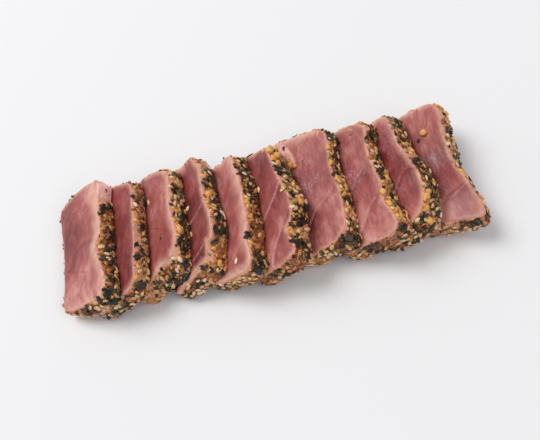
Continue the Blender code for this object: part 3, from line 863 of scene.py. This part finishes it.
# sizes are halves: of a length, a width and a thickness
seedSizes = dict(spacing=1.75, size=np.array((1.48, 0.94, 0.46)), grow=(0.86, 1.12), lift=(0.1, 0.45),
                 tilt=0.3, spread=0.22, strayLift=0.3, strayTilt=0.1, strayTone=(0.05, 0.35),
                 sides=8, rings=6, narrow=((0.70, 0.92), (0.58, 0.80), (0.78, 0.90)))
crumbSizes = dict(spacing=1.0, size=((0.5, 1.1), (0.4, 0.8), (0.3, 0.55)), grow=(0.7, 0.9, 1.0, 1.1, 1.6),
                  lift=0.05, tilt=0.5, spread=0.25, sides=8, rings=5, smooth=0.18, rough=0.45,
                  lump=((0.75, 1.0), (0.65, 0.85), (0.45, 0.6)), lumpLift=0.25, lumpTilt=0.3,
                  reach=0.65, main=0.95, side=0.6, parts=4, stray=np.array((1.0, 0.85, 0.7)))
fineSizes = dict(spacing=0.65, size=((0.25, 0.6), (0.2, 0.5), (0.15, 0.35)), lift=0.1, tilt=0.5,
                 toneShift=0.1, spread=0.3, sides=5, rings=4, rough=0.4)
flakeSizes = dict(spacing=1.9, length=(0.8, 2.2), width=(0.45, 0.8), thick=0.6, lift=(0.15, 0.5), tilt=0.4,
                  dark=2, sides=11, flat=0.10, ragged=1.0, shapes=5, first=0)
clumpSizes = dict(parts=5, length=(0.4, 0.68), reach=0.65, lift=0.25, stack=0.12)
herbSizes = dict(spacing=1.0, length=(0.7, 1.8), width=(0.35, 0.65), thick=0.5, lift=(0.2, 0.5), tilt=0.5,
                 dark=1, sides=7, flat=0.22, ragged=0.8, shapes=4, first=20)


def makeSeedShape(outer, middle):
    sizes = seedSizes
    bpy.ops.mesh.primitive_uv_sphere_add(segments=sizes["sides"], ring_count=sizes["rings"], radius=1.0,
                                         rotation=(0.0, math.radians(90), 0.0))
    seed = bpy.context.object
    bpy.ops.object.transform_apply(rotation=True)
    selectPoints(seed, lambda place: 0.8 < place.x < 0.95)
    bpy.ops.transform.resize(value=(1.0, outer, outer))
    selectPoints(seed, lambda place: 0.4 < place.x < 0.6)
    bpy.ops.transform.resize(value=(1.0, middle, middle))
    selectPoints(seed, lambda place: -0.95 < place.x < -0.8)
    bpy.ops.transform.resize(value=(1.0, 1.15, 1.1))
    bpy.ops.object.mode_set(mode='OBJECT')
    return takeShape(seed)


def makeCrumbShape(sizes, rough, seed):
    bpy.ops.mesh.primitive_uv_sphere_add(segments=sizes["sides"], ring_count=sizes["rings"], radius=1.0)
    crumb = bpy.context.object
    bpy.ops.object.mode_set(mode='EDIT')
    bpy.ops.mesh.select_all(action='SELECT')
    bpy.ops.transform.vertex_random(offset=rough, uniform=0.5, normal=0.6, seed=seed)
    bpy.ops.object.mode_set(mode='OBJECT')
    return takeShape(crumb)


def makeFlakeShape(sizes, seed):
    # a thin, curled chip with a ragged outline
    bpy.ops.mesh.primitive_uv_sphere_add(segments=sizes["sides"], ring_count=4, radius=1.0)
    flake = bpy.context.object
    bpy.ops.object.mode_set(mode='EDIT')
    bpy.ops.mesh.select_all(action='SELECT')
    bpy.ops.transform.resize(value=(1.0, 1.0, sizes["flat"]))
    bpy.ops.object.mode_set(mode='OBJECT')
    for vertex in flake.data.vertices:
        place = vertex.co
        angle = math.atan2(place.y, place.x)
        rim = Vector((math.cos(angle), math.sin(angle), seed * 3.1))
        wander = noise.noise(rim * 1.6) + 0.5 * noise.noise(rim * 3.7)
        reach = 1.0 + sizes["ragged"] * wander
        fold = noise.noise(Vector((place.x * 1.3, place.y * 1.3, seed * 5.7)))
        height = place.z + 0.8 * fold - 0.2 * place.xy.length_squared
        vertex.co = (place.x * reach, place.y * reach, height)
    return takeShape(flake)


def makeFlakeShapes(sizes):
    return [makeFlakeShape(sizes, sizes["first"] + number) for number in range(sizes["shapes"])]


def makeSeedFinish():
    f = Finish("toasted_sesame", Coat_Roughness=0.16, Subsurface_Weight=0.08, Subsurface_Scale=0.001)
    tone, grain = f.attribute("tone"), f.attribute("grain", 1)
    mottle = f.noise(grain, 0.8, 3.0, 0.6)
    color = f.ramp(tone + (mottle - 0.5) * 0.35,
                   [(0.0, srgb(244, 216, 178)), (0.35, srgb(230, 178, 118)),
                    (0.7, srgb(202, 132, 68)), (1.0, srgb(138, 78, 42))])
    pits = f.noise(grain, 2.6, 3.0, 0.6)
    return f.wire(Base_Color=color, Roughness=0.34 + mottle * 0.2, Coat_Weight=0.6,
                  Normal=f.bump(pits, 0.25, 0.0002))


def makeCrumbFinish():
    f = Finish("toasted_crumb", Coat_Roughness=0.2, Subsurface_Weight=0.08, Subsurface_Scale=0.001)
    tone, grain = f.attribute("tone"), f.attribute("grain", 1)
    mottle = f.noise(grain, 1.1, 3.0, 0.6)
    color = f.ramp(tone + (mottle - 0.5) * 0.6,
                   [(0.0, srgb(248, 190, 96)), (0.3, srgb(234, 161, 79)),
                    (0.65, srgb(190, 108, 54)), (1.0, srgb(98, 54, 30))])
    pits = f.noise(grain, 2.2, 4.0, 0.65)
    return f.wire(Base_Color=color, Roughness=0.40 + mottle * 0.25, Coat_Weight=0.55,
                  Normal=f.bump(pits, 0.8, 0.0005))


def makeFlakeFinish(name, dark, light):
    f = Finish(name, Coat_Roughness=0.3)
    tone, grain = f.attribute("tone"), f.attribute("grain", 1)
    mottle = f.noise(grain, 0.9, 3.0, 0.6)
    color = f.mix(f.between(tone + (mottle - 0.5) * 0.8, 0.2, 0.9), dark, light)
    veins = f.noise(f.stretch(grain, (1.0, 3.5, 1.0)), 1.0, 3.0, 0.6)
    return f.wire(Base_Color=color, Roughness=0.38 + mottle * 0.25, Coat_Weight=0.15,
                  Normal=f.bump(veins + mottle, 0.9, 0.0005))


# stray pieces on the cut faces: slice, place up the face, place along it
straySeeds = [(3, 15, 14), (4, 17.5, 4.5), (4, 17.5, -8.5), (5, 19.5, -26.5), (6, 29, -2), (6, 15.5, 5.5),
              (10, 14.5, -11.5)]
strayCrumbs = [(10, 20, 13.5, 1.9, 0.12), (7, 9.8, 17.0, 2.0, 0.35), (7, 9.2, 19.5, 1.5, 0.45),
               (7, 11.2, 15.8, 1.4, 0.30), (1, 10.5, 21, 0.55, 0.35), (1, 20, 17, 0.5, 0.35)]
strayFlakes = [(3, 21, -7.5, 0.7), (10, 16.4, 11.5, 1.1), (7, 15.9, 16.4, 0.4), (7, 8.2, 27.5, 1.3)]


def sowSeeds(cuts, spots, dice):
    sizes, seeds = seedSizes, []
    for spot in spots:
        place = spot["place"] + spot["normal"] * dice.uniform(*sizes["lift"])
        size = sizes["size"] * dice.uniform(*sizes["grow"])
        tone = dice.gauss(crustWords[spot["word"]]["tone"], sizes["spread"])
        shape = dice.randrange(len(sizes["narrow"]))
        addPiece(seeds, shape, place, spot["normal"], size, tone, sizes["tilt"], dice)
    for number, up, along in straySeeds:
        place, normal = cuts[number - 1].topPlace(up, along)
        place = place + normal * sizes["strayLift"]
        tone = dice.uniform(*sizes["strayTone"])
        addPiece(seeds, 0, place, normal, sizes["size"], tone, sizes["strayTilt"], dice)
    shapes = [makeSeedShape(outer, middle) for outer, middle in sizes["narrow"]]
    sow("sesame_seeds", shapes, seeds, makeSeedFinish())


def sowCrumbs(cuts, spots, finish, dice):
    # the first two shapes are smooth, for the large lumps
    sizes, crumbs = crumbSizes, []
    for spot in spots:
        place = spot["place"] + spot["normal"] * sizes["lift"]
        size = between(dice, sizes["size"]) * dice.choice(sizes["grow"])
        tone = dice.gauss(crustWords[spot["word"]]["tone"], sizes["spread"])
        addPiece(crumbs, dice.randrange(6), place, spot["normal"], size, tone, sizes["tilt"], dice)
    for number, up, along, radius, tone in strayCrumbs:
        place, normal = cuts[number - 1].topPlace(up, along)
        place = place + normal * 0.4 * radius
        addPiece(crumbs, 0, place, normal, radius * sizes["stray"], tone, 0.1, dice)
    for cut in cuts:
        for along, down, radius, tone in cut.looks["crumbs"]:
            middle, normal = cut.raisedPlace(along, down)
            for part in range(sizes["parts"]):       # one large lump, and smaller ones that hang on to it
                reach = sizes["reach"] * radius if part else 0.0
                shift = between(dice, [(-reach, reach)] * 3)
                place = middle + shift + normal * (sizes["lumpLift"] * radius - normal @ shift)
                size = between(dice, sizes["lump"]) * radius * sizes["side" if part else "main"]
                shape = dice.randrange(2, 6) if part else dice.randrange(2)
                shade = tone + dice.uniform(-0.05, 0.12)
                addPiece(crumbs, shape, place, normal, size, shade, sizes["lumpTilt"], dice)
    roughs = [sizes["smooth"]] * 2 + [sizes["rough"]] * 4
    shapes = [makeCrumbShape(sizes, rough, seed) for seed, rough in enumerate(roughs)]
    sow("toasted_crumbs", shapes, crumbs, finish)


def sowFines(spots, finish, dice):
    sizes, fines = fineSizes, []
    for spot in spots:
        place = spot["place"] + spot["normal"] * sizes["lift"]
        tone = dice.gauss(crustWords[spot["word"]]["tone"] + sizes["toneShift"], sizes["spread"])
        size = between(dice, sizes["size"])
        addPiece(fines, dice.randrange(5), place, spot["normal"], size, tone, sizes["tilt"], dice)
    shapes = [makeCrumbShape(sizes, sizes["rough"], seed) for seed in range(5)]
    sow("fine_crumbs", shapes, fines, finish)


def scatterChips(sizes, spots, dice):
    chips = []
    for spot in spots:
        length = dice.uniform(*sizes["length"])
        size = length * np.array((1.0, dice.uniform(*sizes["width"]), sizes["thick"]))
        place = spot["place"] + spot["normal"] * dice.uniform(*sizes["lift"])
        tone = dice.random() ** sizes["dark"]
        addPiece(chips, dice.randrange(sizes["shapes"]), place, spot["normal"], size, tone, sizes["tilt"], dice)
    return chips


def sowFlakes(cuts, spots, dice):
    sizes, clump = flakeSizes, clumpSizes
    flakes = scatterChips(sizes, spots, dice)
    for cut in cuts:
        for along, down, radius in cut.looks["flakes"]:
            middle, normal = cut.raisedPlace(along, down)
            reach = clump["reach"] * radius
            for part in range(clump["parts"]):
                shift = between(dice, [(-reach, reach)] * 3)
                lift = clump["lift"] + clump["stack"] * part
                place = middle + shift + normal * (lift - normal @ shift)
                length = radius * dice.uniform(*clump["length"])
                size = length * np.array((1.0, dice.uniform(*sizes["width"]), sizes["thick"]))
                tone = dice.random() ** sizes["dark"]
                addPiece(flakes, dice.randrange(sizes["shapes"]), place, normal, size, tone, sizes["tilt"], dice)
    for number, up, along, radius in strayFlakes:
        place, normal = cuts[number - 1].topPlace(up, along)
        size = radius * np.array((1.0, 0.8, 0.3))
        addPiece(flakes, 1, place + normal * 0.15, normal, size, 0.1, 0.1, dice)
    finish = makeFlakeFinish("dark_seaweed", srgb(28, 23, 17), srgb(80, 68, 44))
    sow("seaweed_flakes", makeFlakeShapes(sizes), flakes, finish)


def sowHerbs(spots, dice):
    herbs = scatterChips(herbSizes, spots, dice)
    finish = makeFlakeFinish("olive_herb", srgb(60, 58, 30), srgb(156, 140, 76))
    sow("herb_flakes", makeFlakeShapes(herbSizes), herbs, finish)


def sowCrust(cuts):
    dice = random.Random(5)
    chance = np.random.default_rng(11)
    kinds = dict(seed=seedSizes, flake=flakeSizes, herb=herbSizes, crumb=crumbSizes, fine=fineSizes)
    found = {kind: [] for kind in kinds}
    for cut in cuts:
        cut.reserved = [(cut.raisedPlace(item[0], item[1])[0], 0.85 * item[2])
                        for item in cut.looks["crumbs"] + cut.looks["flakes"]]
        for order, (kind, sizes) in enumerate(kinds.items()):
            shift = Vector((7.0, 0.0, 3.0)) * order
            found[kind] += scatter(cut, kind, sizes["spacing"], shift, chance, dice)
    crumbFinish = makeCrumbFinish()
    sowSeeds(cuts, found["seed"], dice)
    sowCrumbs(cuts, found["crumb"], crumbFinish, dice)
    sowFines(found["fine"], crumbFinish, dice)
    sowFlakes(cuts, found["flake"], dice)
    sowHerbs(found["herb"], dice)


floorLooks = dict(size=4.0, drop=0.0002, color=(0.86, 0.86, 0.875, 1.0))
lights = dict(
    key=dict(place=(-1.2, 0.88, 2.16), size=1.4, power=43.0),
    fill=dict(place=(1.35, -0.9, 1.8), size=1.8, power=11.5),
    sheen=dict(place=(-1.15, 0.66, 0.5), size=0.3, power=0.55),
)
worldLight = 0.42
cameraLooks = dict(place=(0.012336, -0.142472, 0.266324), lens=43.457, sensor=36.0,
                   turns=((3.7, 'Z'), (28.021, 'X'), (-16.869, 'Z')))


def makeFloor():
    deselectAll()
    bpy.ops.mesh.primitive_plane_add(size=floorLooks["size"], location=(0.0, 0.0, -floorLooks["drop"]))
    floor = bpy.context.object
    floor.name = "studio_floor"
    bpy.ops.object.transform_apply(location=True)
    finish = Finish("pale_floor", Roughness=0.9, Specular_IOR_Level=0.1, Base_Color=floorLooks["color"])
    floor.data.materials.append(finish.material)


def addLight(name, place, size, power):
    bpy.ops.object.light_add(type='AREA', location=place)
    light = bpy.context.object
    light.name = name
    light.data.shape = 'SQUARE'
    light.data.size = size
    light.data.energy = power
    light.rotation_euler = (-Vector(place)).to_track_quat('-Z', 'Y').to_euler()


def makeWorld():
    world = bpy.data.worlds.new("studio")
    world.use_nodes = True
    background = world.node_tree.nodes["Background"]
    background.inputs["Color"].default_value = (1.0, 1.0, 1.0, 1.0)
    background.inputs["Strength"].default_value = worldLight
    bpy.context.scene.world = world


def makeCamera():
    bpy.ops.object.camera_add(location=cameraLooks["place"])
    camera = bpy.context.object
    camera.data.lens = cameraLooks["lens"]
    camera.data.sensor_width = cameraLooks["sensor"]
    camera.data.clip_start = 0.01
    turn = Matrix.Identity(3)
    for angle, axis in cameraLooks["turns"]:
        turn = turn @ Matrix.Rotation(math.radians(angle), 3, axis)
    camera.rotation_euler = turn.to_euler()
    bpy.context.scene.camera = camera


fleshFinish = makeFleshFinish()
cuts = [makeSlice(number, looks, fleshFinish) for number, looks in enumerate(sliceLooks, start=1)]
sowCrust(cuts)
makeFloor()
for name, settings in lights.items():
    addLight(f"{name}_light", **settings)
makeWorld()
makeCamera()
bpy.context.scene.view_settings.view_transform = 'Standard'
print("floor, lights and camera placed")
